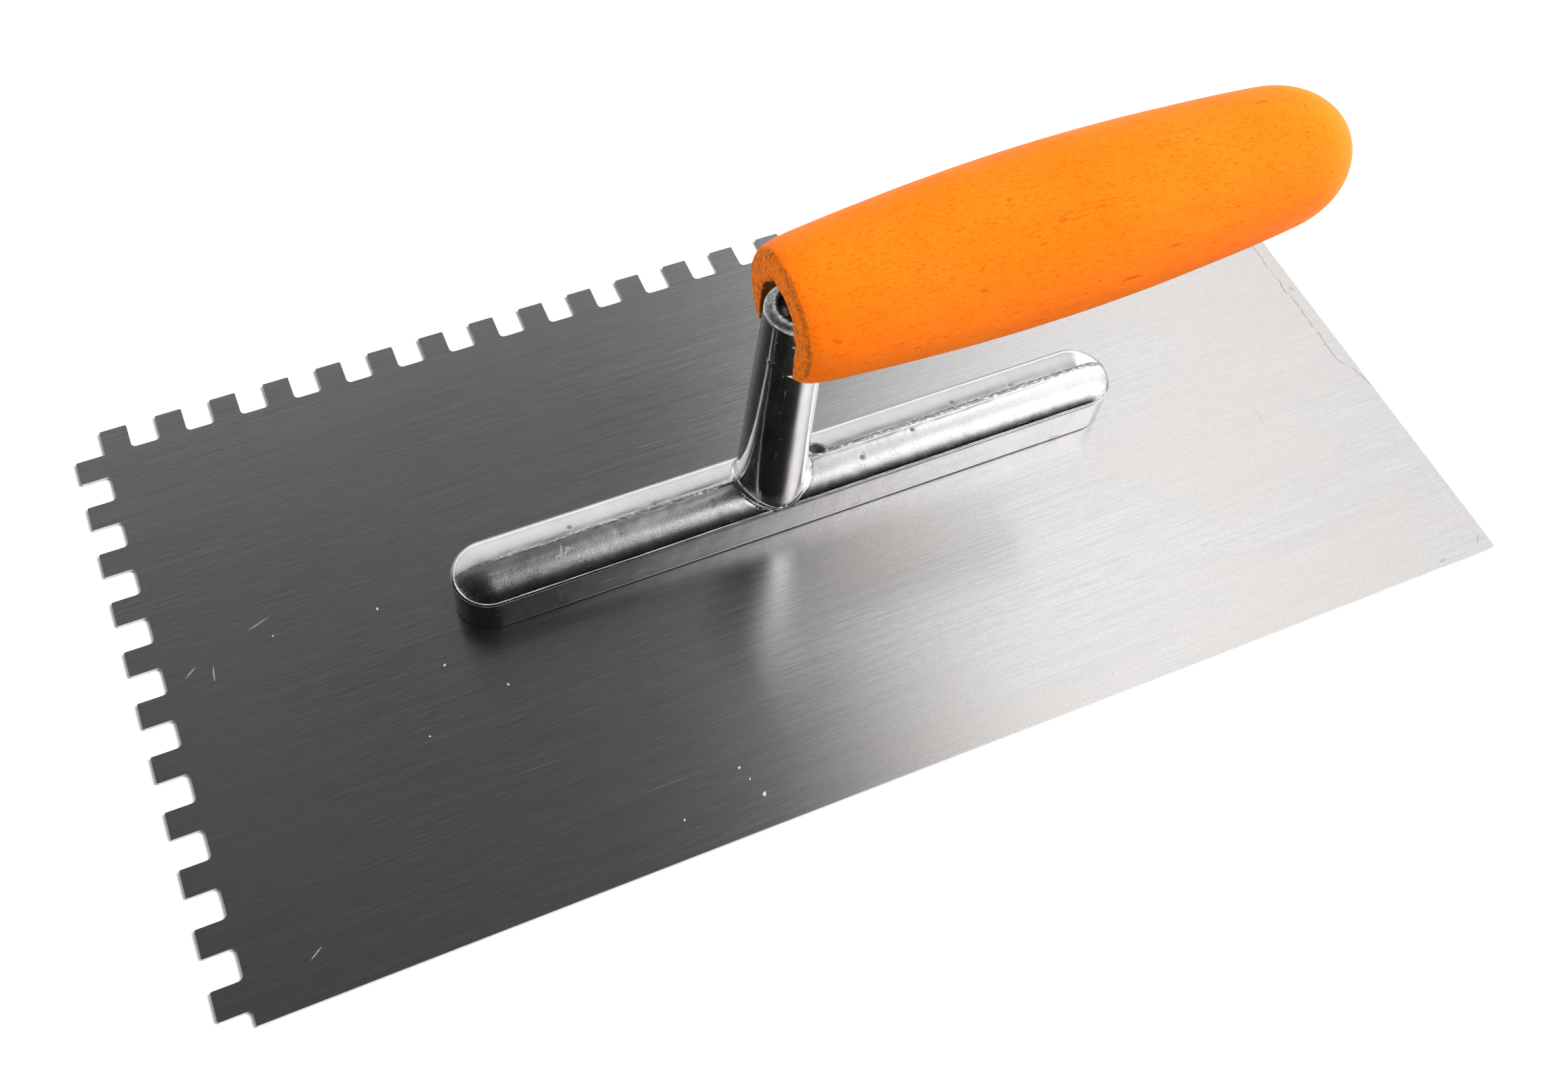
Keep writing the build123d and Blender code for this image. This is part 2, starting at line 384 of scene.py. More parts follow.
# ---------------------------------------------------------------- the handle
def handle_profile():
    """Radius at points along the handle, as the CAD turns it."""
    from math import sin, cos
    mid = HL - CAP_A
    pts = [(0.0, FACE_R), (0.45, 12.10), (1.15, 12.55), (2.1, 12.90)] + PROFILE
    pts.append((mid + CAP_A * sin(CAP_T0), CAP_B * cos(CAP_T0)))
    # smooth barrel through the points
    xs = np.array([p[0] for p in pts[4:]])
    ys = np.array([p[1] for p in pts[4:]])
    n = len(xs)
    d0, d1 = 0.22, -CAP_B / CAP_A * math.tan(CAP_T0)
    A = np.zeros((n, n)); b = np.zeros(n)
    h = np.diff(xs)
    A[0, 0] = 1; b[0] = d0
    A[-1, -1] = 1; b[-1] = d1
    for i in range(1, n - 1):
        A[i, i - 1] = 1 / h[i - 1]
        A[i, i] = 2 * (1 / h[i - 1] + 1 / h[i])
        A[i, i + 1] = 1 / h[i]
        b[i] = 3 * ((ys[i] - ys[i - 1]) / h[i - 1] ** 2 + (ys[i + 1] - ys[i]) / h[i] ** 2)
    d = np.linalg.solve(A, b)
    out = pts[:4]
    for i in range(n - 1):
        for k in range(30):
            t = k / 30
            h00, h10 = 2 * t ** 3 - 3 * t ** 2 + 1, t ** 3 - 2 * t ** 2 + t
            h01, h11 = -2 * t ** 3 + 3 * t ** 2, t ** 3 - t ** 2
            out.append((xs[i] + t * h[i], h00 * ys[i] + h10 * h[i] * d[i] + h01 * ys[i + 1] + h11 * h[i] * d[i + 1]))
    for k in range(61):
        t = CAP_T0 + (math.pi / 2 - CAP_T0) * k / 60
        out.append((mid + CAP_A * math.sin(t), CAP_B * math.cos(t)))
    return np.array(out)


def smax(a, b, k):
    h = np.clip(0.5 + 0.5 * (a - b) / k, 0, 1)
    return b * (1 - h) + a * h + k * h * (1 - h)


PROF = handle_profile()
_gs = np.arange(-3.0, HL + 3.0, 0.25)
_gr = np.arange(0.0, 20.0, 0.25)


def _profile_grid():
    """Signed distance to the turned outline, on a grid of (along, radius)."""
    S, Rr = np.meshgrid(_gs, _gr, indexing="ij")
    P = np.stack([S.ravel(), Rr.ravel()], 1)
    line = np.vstack([[0.0, 0.0], PROF])
    best = np.full(len(P), 1e9)
    for a, b in zip(line[:-1], line[1:]):
        ab = b - a
        L2 = (ab ** 2).sum()
        if L2 < 1e-12:
            continue
        t = np.clip(((P - a) @ ab) / L2, 0, 1)
        d = np.hypot(P[:, 0] - a[0] - t * ab[0], P[:, 1] - a[1] - t * ab[1])
        best = np.minimum(best, d)
    rad = np.interp(P[:, 0], PROF[:, 0], PROF[:, 1], left=-1, right=-1)
    inside = (P[:, 0] > 0) & (P[:, 0] < HL) & (P[:, 1] < rad)
    return np.where(inside, -best, best).reshape(S.shape)


_grid = _profile_grid()


def grid_at(s, r):
    fs = np.clip((s - _gs[0]) / 0.25, 0, len(_gs) - 1.001)
    fr = np.clip((r - _gr[0]) / 0.25, 0, len(_gr) - 1.001)
    i, j = fs.astype(int), fr.astype(int)
    u, v = fs - i, fr - j
    g = _grid
    return (g[i, j] * (1 - u) * (1 - v) + g[i + 1, j] * u * (1 - v)
            + g[i, j + 1] * (1 - u) * v + g[i + 1, j + 1] * u * v)


_rng = np.random.default_rng(7)
_waves = [(_rng.normal(size=3), _rng.uniform(0, 6.28)) for _ in range(10)]


def waves(x, y, z, size):
    """Cheap smooth unevenness, about -1 to 1."""
    out = 0.0
    for d, ph in _waves:
        out = out + np.sin((x * d[0] + y * d[1] + z * d[2]) / size + ph)
    return out / 4.0


CR, SR = math.cos(RISE), math.sin(RISE)


def handle_sdf(x, y, z):
    """Signed distance to the handle, millimetres, row frame."""
    dx, dz = x - HX, z - (Z0 + HZ)
    yy = y - BAR_Y
    s = dx * CR + dz * SR
    q = -dx * SR + dz * CR
    r = np.hypot(yy, q)
    body = grid_at(s, r) + 0.05 * waves(x / 3, y, z, 6.0) + 0.015 * waves(x / 2, y, z, 1.8)
    sr = SLOT_W / 2
    zc = Z0 + SLOT_TOP - sr
    # the slot widens a little at its mouth, where it was sanded by hand
    lip = np.clip((HX + 1.6 - x) / 1.6, 0, 1)
    chip = 0.36 * lip * waves(x, y, z, 0.8)
    u = np.where(z > zc, np.hypot(yy, z - zc), np.abs(yy)) - sr
    # top of the slot runs up to a blunt point
    u = u - 0.95 * np.clip((z - zc) / sr, 0, 1) ** 7
    slot = smax(u - 0.25 * lip ** 2 + chip, x - SLOT_END_X, 0.8)
    tx, tz = x - POST_X, z - (Z0 + TANG_Z)
    ts = tx * CR + tz * SR
    tq = -tx * SR + tz * CR
    tr = np.hypot(yy, tq)
    bore = tr - (TANG_R_ROOT + (TANG_R_TIP - TANG_R_ROOT) * ts / TANG_L)
    bore = np.maximum(bore, ts - TANG_L - 2.5)
    hollow = np.minimum(slot, bore)
    return smax(body, -hollow, 0.55)


def surface_net(f, lo, hi, h):
    """Quads round the zero set of f, then pulled onto it."""
    n = [int(math.ceil((b - a) / h)) + 1 for a, b in zip(lo, hi)]
    ax = [lo[i] + h * np.arange(n[i]) for i in range(3)]
    X, Y, Zz = np.meshgrid(*ax, indexing="ij")
    V = f(X, Y, Zz)
    ins = V < 0
    nx, ny, nzc = n
    c = ins[:-1, :-1, :-1].astype(np.int8)
    tot = np.zeros((nx - 1, ny - 1, nzc - 1), np.int8)
    for dx in (0, 1):
        for dy in (0, 1):
            for dz in (0, 1):
                tot += ins[dx:nx - 1 + dx, dy:ny - 1 + dy, dz:nzc - 1 + dz]
    act = (tot > 0) & (tot < 8)
    idx = -np.ones(act.shape, np.int64)
    cells = np.argwhere(act)
    idx[act] = np.arange(len(cells))
    acc = np.zeros((len(cells), 3)); cnt = np.zeros(len(cells))
    corners = [(0, 0, 0), (1, 0, 0), (0, 1, 0), (1, 1, 0), (0, 0, 1), (1, 0, 1), (0, 1, 1), (1, 1, 1)]
    for a in range(8):
        for b in range(a + 1, 8):
            ca, cb = corners[a], corners[b]
            if sum(abs(ca[i] - cb[i]) for i in range(3)) != 1:
                continue
            va = V[cells[:, 0] + ca[0], cells[:, 1] + ca[1], cells[:, 2] + ca[2]]
            vb = V[cells[:, 0] + cb[0], cells[:, 1] + cb[1], cells[:, 2] + cb[2]]
            m = (va < 0) != (vb < 0)
            t = np.where(m, va / np.where(m, va - vb, 1.0), 0.0)
            p = np.array(ca)[None, :] + t[:, None] * (np.array(cb) - np.array(ca))[None, :]
            acc += np.where(m[:, None], p, 0.0)
            cnt += m
    P = (cells + acc / cnt[:, None]) * h + np.array(lo)[None, :]
    faces = []
    for axis in range(3):
        o1, o2 = [(1, 2), (2, 0), (0, 1)][axis]
        sl_a = [slice(None)] * 3; sl_b = [slice(None)] * 3
        sl_a[axis] = slice(0, n[axis] - 1); sl_b[axis] = slice(1, n[axis])
        A, B = ins[tuple(sl_a)], ins[tuple(sl_b)]
        e = np.argwhere(A != B)
        ok = (e[:, o1] > 0) & (e[:, o2] > 0) & (e[:, o1] < n[o1] - 1) & (e[:, o2] < n[o2] - 1)
        e = e[ok]
        flip = A[e[:, 0], e[:, 1], e[:, 2]]
        q = []
        for d1, d2 in ((0, 0), (1, 0), (1, 1), (0, 1)):
            k = e.copy()
            k[:, o1] -= d1; k[:, o2] -= d2
            q.append(idx[k[:, 0], k[:, 1], k[:, 2]])
        q = np.stack(q, 1)
        q = np.where(flip[:, None], q, q[:, ::-1])
        faces.append(q)
    faces = np.vstack(faces)
    e = 0.02
    for _ in range(4):
        v = f(P[:, 0], P[:, 1], P[:, 2])
        g = np.stack([
            f(P[:, 0] + e, P[:, 1], P[:, 2]) - f(P[:, 0] - e, P[:, 1], P[:, 2]),
            f(P[:, 0], P[:, 1] + e, P[:, 2]) - f(P[:, 0], P[:, 1] - e, P[:, 2]),
            f(P[:, 0], P[:, 1], P[:, 2] + e) - f(P[:, 0], P[:, 1], P[:, 2] - e)], 1) / (2 * e)
        g2 = np.maximum((g ** 2).sum(1), 0.2)
        step = np.clip(v / g2, -h * 0.5, h * 0.5)
        P = P - g * step[:, None]
    return P, faces


P, F = surface_net(handle_sdf, (-9.5, -18.5, 48.0), (110.5, 17.0, 86.5), 0.55)
handle = new_object("handle_wood", P * MM, F.tolist())


# ---------------------------------------------------------------- materials
class Mat:
    """A small helper for building node materials."""

    def __init__(self, name):
        self.m = bpy.data.materials.new(name)
        self.m.use_nodes = True
        self.nt = self.m.node_tree
        self.nt.nodes.clear()
        self.out = self.add("ShaderNodeOutputMaterial")
        self.b = self.add("ShaderNodeBsdfPrincipled")
        self.link(self.b.outputs[0], self.out.inputs[0])
        self.co = self.add("ShaderNodeTexCoord").outputs["Object"]
        self.rag = None

    def add(self, kind):
        return self.nt.nodes.new(kind)

    def link(self, a, b):
        self.nt.links.new(a, b)

    def put(self, sock, v):
        if hasattr(v, "is_output"):
            self.link(v, sock)
        elif isinstance(v, (tuple, list)) and len(v) == 3 and sock.type == "RGBA":
            sock.default_value = (*v, 1.0)
        else:
            sock.default_value = v

    def mapped(self, scale, rot=(0, 0, 0), loc=(0, 0, 0), src=None):
        n = self.add("ShaderNodeMapping")
        n.vector_type = "POINT"
        self.link(src or self.co, n.inputs[0])
        n.inputs["Location"].default_value = loc
        n.inputs["Rotation"].default_value = rot
        n.inputs["Scale"].default_value = scale
        return n.outputs[0]

    def noise(self, vec, detail=2.0, rough=0.5, dist=0.0, scale=1.0):
        n = self.add("ShaderNodeTexNoise")
        self.link(vec, n.inputs["Vector"])
        n.inputs["Scale"].default_value = scale
        n.inputs["Detail"].default_value = detail
        n.inputs["Roughness"].default_value = rough
        n.inputs["Distortion"].default_value = dist
        return n.outputs["Fac"]

    def voronoi(self, vec, feature="F1", rnd=1.0, out="Distance"):
        n = self.add("ShaderNodeTexVoronoi")
        n.feature = feature
        self.link(vec, n.inputs["Vector"])
        n.inputs["Scale"].default_value = 1.0
        n.inputs["Randomness"].default_value = rnd
        return n.outputs[out]

    def math(self, op, a, b=0.0, c=None, clamp=False):
        n = self.add("ShaderNodeMath")
        n.operation = op
        n.use_clamp = clamp
        self.put(n.inputs[0], a)
        if n.inputs[1].enabled:
            self.put(n.inputs[1], b)
        if c is not None:
            self.put(n.inputs[2], c)
        return n.outputs[0]

    def ramp(self, v, lo, hi, a=0.0, b=1.0, smooth=True):
        """a below lo, b above hi."""
        n = self.add("ShaderNodeMapRange")
        n.interpolation_type = "SMOOTHSTEP" if smooth else "LINEAR"
        n.clamp = True if hasattr(n, "clamp") else True
        self.put(n.inputs[0], v)
        n.inputs[1].default_value = lo
        n.inputs[2].default_value = hi
        n.inputs[3].default_value = a
        n.inputs[4].default_value = b
        return n.outputs[0]

    def mix(self, f, a, b, mode="MIX"):
        n = self.add("ShaderNodeMix")
        n.data_type = "RGBA"
        n.blend_type = mode
        n.clamp_factor = True
        self.put(n.inputs[0], f)
        self.put(n.inputs[6], a)
        self.put(n.inputs[7], b)
        return n.outputs[2]

    def mixf(self, f, a, b):
        n = self.add("ShaderNodeMix")
        n.data_type = "FLOAT"
        n.clamp_factor = True
        self.put(n.inputs[0], f)
        self.put(n.inputs[2], a)
        self.put(n.inputs[3], b)
        return n.outputs[0]

    def xyz(self, src=None):
        n = self.add("ShaderNodeSeparateXYZ")
        self.link(src or self.co, n.inputs[0])
        return n.outputs[0], n.outputs[1], n.outputs[2]

    def bump(self, height, distance, strength=1.0, normal=None):
        n = self.add("ShaderNodeBump")
        n.inputs["Strength"].default_value = strength
        n.inputs["Distance"].default_value = distance
        self.link(height, n.inputs["Height"])
        if normal is not None:
            self.link(normal, n.inputs["Normal"])
        return n.outputs[0]

    def spot(self, centre, radii, ragged=0.0, edge=0.3, rot=0.0):
        """1 inside an ellipsoid round a point, millimetres, with a ragged edge."""
        c = Vector(centre) * MM
        n = self.add("ShaderNodeMapping")
        n.vector_type = "TEXTURE"
        self.link(self.co, n.inputs[0])
        n.inputs["Location"].default_value = c
        n.inputs["Rotation"].default_value = (0, 0, rot)
        n.inputs["Scale"].default_value = [r * MM for r in radii]
        v = self.add("ShaderNodeVectorMath")
        v.operation = "LENGTH"
        self.link(n.outputs[0], v.inputs[0])
        d = v.outputs["Value"]
        if ragged:
            if self.rag is None:
                self.rag = self.math("SUBTRACT", self.noise(self.mapped((2600, 2600, 2600)), 2.0), 0.5)
            d = self.math("MULTIPLY_ADD", self.rag, ragged, d)
        return self.ramp(d, 1.0 - edge, 1.0 + edge, 1.0, 0.0)


SPECKS = [
    (-86.0, 4.4, 0.30), (-77.4, -12.0, 0.28), (-106.5, 6.0, 0.20), (-32.5, -52.2, 0.28), (-31.5, -55.0, 0.20),
    (-30.2, -58.7, 0.45), (-46.0, -57.9, 0.24), (-67.3, -20.3, 0.26), (-84.5, -25.1, 0.20),
]
SCRATCHES = [
    (-108.5, 9.6, 2.1, 0.32), (-119.0, 2.2, 1.5, -1.72), (-123.0, 4.1, 1.3, 0.63),
    (-115.2, -56.7, 1.3, 0.60), (105.4, -19.1, 2.2, -1.68),
]


def blade_material():
    m = Mat("brushed_blade")
    b = m.b
    # brush lines run along X
    fine = m.noise(m.mapped((60, 9000, 900)), 2.0, 0.6)
    mid = m.noise(m.mapped((26, 3600, 300), loc=(3.1, 1.7, 0)), 3.0, 0.65)
    wide = m.noise(m.mapped((12, 1700, 60), loc=(1.3, 5.2, 0)), 3.0, 0.70)
    short = m.noise(m.mapped((210, 4200, 400), loc=(7.7, 2.2, 0)), 1.0, 0.5)
    cloud = m.noise(m.mapped((14, 19, 20), loc=(4.0, 2.0, 0)), 3.0, 0.55)
    grit = m.noise(m.mapped((2600, 5200, 900), loc=(2.0, 2.0, 0)), 2.0, 0.6)
    streak = m.math("ADD", m.math("MULTIPLY", wide, 0.26), m.math("ADD", m.math("MULTIPLY", mid, 0.48), m.math("MULTIPLY", short, 0.26)))
    # specks of dust and short scratches
    dust = None
    for px, py, pr in SPECKS:
        k = m.spot((px, py, Z0), (pr * 0.95, pr * 0.60, 3), ragged=0.9, edge=0.35, rot=0.5 + 1.7 * ((px * 0.37 + py * 0.11) % 1.0))
        dust = k if dust is None else m.math("MAXIMUM", dust, k)
    scr = None
    for px, py, pl, pa in SCRATCHES:
        k = m.spot((px, py, Z0), (pl, 0.10, 3), ragged=0.9, edge=0.4, rot=pa)
        scr = k if scr is None else m.math("MAXIMUM", scr, k)
    hair = m.ramp(m.noise(m.mapped((24, 5200, 40), rot=(0, 0, 0.30)), 1.0, 0.5), 0.77, 0.82)
    hair2 = m.ramp(m.noise(m.mapped((30, 5600, 40), rot=(0, 0, -1.15), loc=(9, 3, 0)), 1.0, 0.5), 0.78, 0.83)
    scr = m.math("MAXIMUM", scr, m.math("MULTIPLY", m.math("MAXIMUM", hair, hair2), 0.18))
    cellv = m.mapped((85, 85, 0.001))
    vd = m.voronoi(cellv)
    cell = m.add("ShaderNodeSeparateColor")
    m.link(m.voronoi(cellv, out="Color"), cell.inputs[0])
    grow = m.math("MULTIPLY_ADD", m.math("POWER", cell.outputs[0], 3.0), -0.014, m.math("MULTIPLY_ADD", m.math("SUBTRACT", grit, 0.5), 0.012, vd))
    dots = m.math("MULTIPLY", m.ramp(grow, 0.0, 0.005, 1.0, 0.0), m.ramp(cell.outputs[1], 0.3, 1.0, 0.2, 1.0))
    # dried film near the plain short edge: a thin wandering line with a dull strip outside it
    x, y, z = m.xyz()
    wander = m.noise(m.mapped((0.001, 95, 0.001), loc=(0, 1.3, 0)), 4.0, 0.70)
    line = m.math("ADD", 0.1309, m.math("MULTIPLY", m.math("SUBTRACT", wander, 0.5), 0.0042))
    line = m.math("ADD", line, m.ramp(y, -0.0215, -0.0120, 0.0030, 0.0, smooth=False))
    off = m.math("SUBTRACT", x, line)
    span = m.math("MULTIPLY", m.ramp(y, -0.0225, -0.0205), m.ramp(y, 0.062, 0.064, 1.0, 0.0))
    broken = m.ramp(m.noise(m.mapped((700, 500, 10), loc=(1, 8, 0)), 3.0, 0.6), 0.36, 0.52, 0.25, 1.0)
    crack = m.math("MULTIPLY", m.math("MULTIPLY", m.ramp(m.math("ABSOLUTE", off), 0.00005, 0.00021, 1.0, 0.0), span), broken)
    film_n = m.noise(m.mapped((330, 330, 10), loc=(5, 5, 0)), 4.0, 0.6)
    film = m.math("MULTIPLY", m.math("MULTIPLY", m.ramp(off, 0.0, 0.0003), span), m.ramp(film_n, 0.35, 0.62, 0.25, 1.0))
    blot = m.spot((132.4, 8.4, Z0), (0.45, 0.6, 3), ragged=0.8, edge=0.3)
    # dull marks by the near right corner and a light line along the edge
    curl = m.spot((131.6, -62.2, Z0), (1.2, 0.22, 5), ragged=0.9, edge=0.3, rot=0.9)
    sm = m.spot((121.5, -63.8, Z0), (0.9, 0.3, 5), ragged=0.9, edge=0.3, rot=0.2)
    lng = m.spot((131.9, -49.2, Z0), (0.12, 6.5, 5), edge=0.4)
    # colour
    base = m.mix(m.ramp(streak, 0.40, 0.60), (0.548, 0.545, 0.552), (0.660, 0.657, 0.656))
    base = m.mix(m.math("MULTIPLY", m.ramp(cloud, 0.36, 0.66), 0.75), base, (0.628, 0.588, 0.565))
    base = m.mix(m.math("MULTIPLY", m.ramp(cloud, 0.36, 0.20, 0.0, 1.0), 0.80), base, (0.545, 0.562, 0.610))
    base = m.mix(m.math("MULTIPLY", m.ramp(grit, 0.35, 0.70), 0.40), base, (0.45, 0.45, 0.45))
    base = m.mix(m.math("MULTIPLY", scr, 0.40), base, (0.80, 0.80, 0.80))
    base = m.mix(m.math("MULTIPLY", film, 0.22), base, (0.56, 0.57, 0.52))
    base = m.mix(m.math("MULTIPLY", crack, 0.60), base, (0.24, 0.235, 0.225))
    marks = m.math("MAXIMUM", curl, sm)
    base = m.mix(m.math("MULTIPLY", m.math("MAXIMUM", marks, blot), 0.45), base, (0.30, 0.295, 0.285))
    base = m.mix(m.math("MAXIMUM", m.math("MULTIPLY", lng, 0.25), m.math("MULTIPLY", dots, 0.6)), base, (0.85, 0.85, 0.85))
    base = m.mix(m.math("MULTIPLY", dust, 0.70), base, (0.74, 0.73, 0.71))
    m.link(base, b.inputs["Base Color"])
    loose = m.math("MAXIMUM", dust, m.math("MULTIPLY", m.math("MAXIMUM", scr, dots), 0.30))
    metal = m.math("SUBTRACT", 1.0, m.math("MAXIMUM", m.math("MULTIPLY", loose, 0.75), m.math("MULTIPLY", film, 0.18)))
    m.link(metal, b.inputs["Metallic"])
    rough = m.math("ADD", 0.225, m.math("MULTIPLY", m.math("SUBTRACT", streak, 0.5), 0.11))
    rough = m.math("ADD", rough, m.math("MULTIPLY", m.math("SUBTRACT", cloud, 0.5), 0.05))
    rough = m.mixf(m.math("MAXIMUM", loose, m.math("MULTIPLY", film, 0.6)), rough, 0.5)
    m.link(rough, b.inputs["Roughness"])
    b.inputs["Anisotropic"].default_value = 0.80
    t = m.add("ShaderNodeCombineXYZ")
    t.inputs[0].default_value = 0.0
    t.inputs[1].default_value = 1.0
    t.inputs[2].default_value = 0.0
    m.link(t.outputs[0], b.inputs["Tangent"])
    h = m.math("ADD", m.math("MULTIPLY", fine, 0.30), m.math("ADD", m.math("MULTIPLY", mid, 0.40), m.math("MULTIPLY", short, 0.20)))
    n1 = m.bump(h, 0.0000045)
    n2 = m.bump(m.math("SUBTRACT", m.math("ADD", dust, m.math("MULTIPLY", crack, 0.8)), scr), 0.00002, normal=n1)
    m.link(n2, b.inputs["Normal"])
    return m.m


def casting_material():
    m = Mat("polished_casting")
    b = m.b
    x, y, z = m.xyz()
    blot = m.noise(m.mapped((140, 140, 140)), 4.0, 0.6)
    fine = m.noise(m.mapped((1500, 1500, 1500)), 3.0, 0.6)
    grain = m.noise(m.mapped((3600, 6000, 6000)), 2.0, 0.6)
    # belt marks: across the bar on its dome, along the post on the post
    across = m.noise(m.mapped((3600, 160, 160)), 2.0, 0.6)
    up = m.noise(m.mapped((1500, 1500, 40)), 2.0, 0.6)
    on_post = m.ramp(z, (Z0 + 13.2) * MM, (Z0 + 15.0) * MM)
    marks = m.mixf(on_post, across, up)
    # nicks and scratches
    s1 = m.ramp(m.noise(m.mapped((120, 2000, 500), rot=(0, 0, 0.9)), 1.0), 0.70, 0.80)
    s2 = m.ramp(m.noise(m.mapped((160, 2300, 500), rot=(0, 0, -0.5), loc=(4, 1, 2)), 1.0), 0.71, 0.80)
    s3 = m.ramp(m.noise(m.mapped((2200, 2200, 130), rot=(0.5, 0.3, 0), loc=(1, 6, 2)), 1.0), 0.71, 0.80)
    sc = m.math("MAXIMUM", s1, m.math("MAXIMUM", s2, s3))
    # rough, worn near shoulder of the dome
    ys = m.math("SUBTRACT", y, BAR_Y * MM)
    shoulder = m.math("MULTIPLY", m.ramp(ys, -0.0062, -0.0050), m.ramp(ys, -0.0022, -0.0010, 1.0, 0.0))
    low = m.ramp(z, (Z0 + SIDE_H + 0.4) * MM, (Z0 + SIDE_H + 0.9) * MM)
    bar_top = m.math("MULTIPLY", low, m.math("SUBTRACT", 1.0, on_post))
    worn = m.math("MULTIPLY", m.math("MULTIPLY", shoulder, bar_top), m.ramp(grain, 0.40, 0.62))
    # seam along the ridge
    seam_n = m.noise(m.mapped((900, 2400, 900)), 3.0, 0.65)
    seam = m.math("MULTIPLY", m.math("MULTIPLY", m.ramp(m.math("ABSOLUTE", m.math("SUBTRACT", ys, 0.0004)), 0.00025, 0.0008, 1.0, 0.0), bar_top), m.ramp(seam_n, 0.40, 0.54))
    wob = m.math("MULTIPLY_ADD", m.math("SUBTRACT", m.noise(m.mapped((160, 0.001, 0.001)), 3.0, 0.6), 0.5), 0.0009, 0.0006)
    ridge = m.math("MULTIPLY", m.ramp(m.math("ABSOLUTE", m.math("SUBTRACT", ys, wob)), 0.00010, 0.00030, 1.0, 0.0), m.math("MULTIPLY", bar_top, m.ramp(seam_n, 0.34, 0.50, 0.25, 1.0)))
    seam = m.math("MAXIMUM", m.math("MULTIPLY", seam, 0.8), m.math("MULTIPLY", ridge, m.ramp(x, (POST_X + 8.0) * MM, (POST_X + 12.0) * MM, 0.25, 1.0)))
    # grime and painted shade in the ledge, and a painted contact shadow where the bar meets the blade
    lz = m.math("ABSOLUTE", m.math("SUBTRACT", z, (Z0 + 9.37) * MM))
    ledge_grime_and_shade = m.ramp(lz, 0.00006, 0.00022, 1.0, 0.0)
    contact_shadow = m.ramp(z, (Z0 + 0.02) * MM, (Z0 + 0.30) * MM, 1.0, 0.0)
    # ground top of the post
    zt = m.math("ADD", z, m.math("MULTIPLY", m.math("SUBTRACT", m.noise(m.mapped((420, 420, 420), loc=(2, 5, 1)), 3.0, 0.6), 0.5), 0.0020))
    top = m.ramp(zt, (Z0 + POST_H - 1.45) * MM, (Z0 + POST_H - 1.0) * MM)
    # the pocket in the post top is painted near black: painted shade in the recess
    inner = m.spot((POST_X + 0.9, BAR_Y, Z0 + POST_H - 1.2), (4.75, 4.75, 50), ragged=0.14, edge=0.05)
    pocket_shade = m.math("MULTIPLY", inner, m.ramp(z, (Z0 + POST_H - 4) * MM, (Z0 + POST_H - 3.9) * MM))
    pocket_shade = m.math("MULTIPLY", pocket_shade, m.ramp(m.noise(m.mapped((330, 330, 330), loc=(3, 0, 1)), 3.0, 0.6), 0.50, 0.66, 1.0, 0.80))
    ground = m.math("MULTIPLY", top, m.math("SUBTRACT", 1.0, pocket_shade))
    # brown casting pits
    pit = None
    for i, (px, py, pr, pd) in enumerate(PITS):
        s = m.spot((px, BAR_Y + py, Z0 + BAR_H - 0.3), (pr * 1.55, pr * 1.5, 4), ragged=0.9 if pr > 0.4 else 0.5, edge=0.12)
        if pr <= 0.4:
            s = m.math("MULTIPLY", s, 0.7)
        pit = s if pit is None else m.math("MAXIMUM", pit, s)
    tiny = m.voronoi(m.mapped((230, 230, 230)))
    tinyc = m.voronoi(m.mapped((230, 230, 230)), out="Color")
    sep = m.add("ShaderNodeSeparateColor")
    m.link(tinyc, sep.inputs[0])
    pin = m.math("MULTIPLY", m.ramp(tiny, 0.03, 0.07, 1.0, 0.0), m.ramp(sep.outputs[0], 0.70, 0.72))
    # colour
    base = m.mix(m.ramp(blot, 0.35, 0.68), (0.80, 0.805, 0.815), (0.88, 0.88, 0.885))
    base = m.mix(m.math("MULTIPLY", m.ramp(marks, 0.42, 0.70), 0.18), base, (0.66, 0.665, 0.675))
    base = m.mix(m.math("MULTIPLY", worn, 0.22), base, (0.74, 0.75, 0.77))
    # painted dark reflection: a dark band in the base colour where the dome drops to the ledge, on the near side and
    # round the plain end
    near = m.math("MAXIMUM", m.ramp(ys, -0.0046, -0.0034, 1.0, 0.0), m.ramp(x, (BAR_X + BAR_L / 2 - 4.5) * MM, (BAR_X + BAR_L / 2 - 2.5) * MM))
    zb = m.math("ADD", z, m.math("MULTIPLY", m.math("SUBTRACT", m.noise(m.mapped((300, 600, 600), loc=(3, 3, 9)), 4.0, 0.65), 0.5), 0.0016))
    painted_dark_band = m.math("MULTIPLY", m.ramp(zb, (Z0 + SIDE_H + 0.10) * MM, (Z0 + SIDE_H + 0.45) * MM), m.ramp(zb, (Z0 + SIDE_H + 0.55) * MM, (Z0 + SIDE_H + 2.35) * MM, 1.0, 0.0))
    painted_dark_band = m.math("MULTIPLY", m.math("MULTIPLY", painted_dark_band, near), m.math("SUBTRACT", 1.0, on_post))
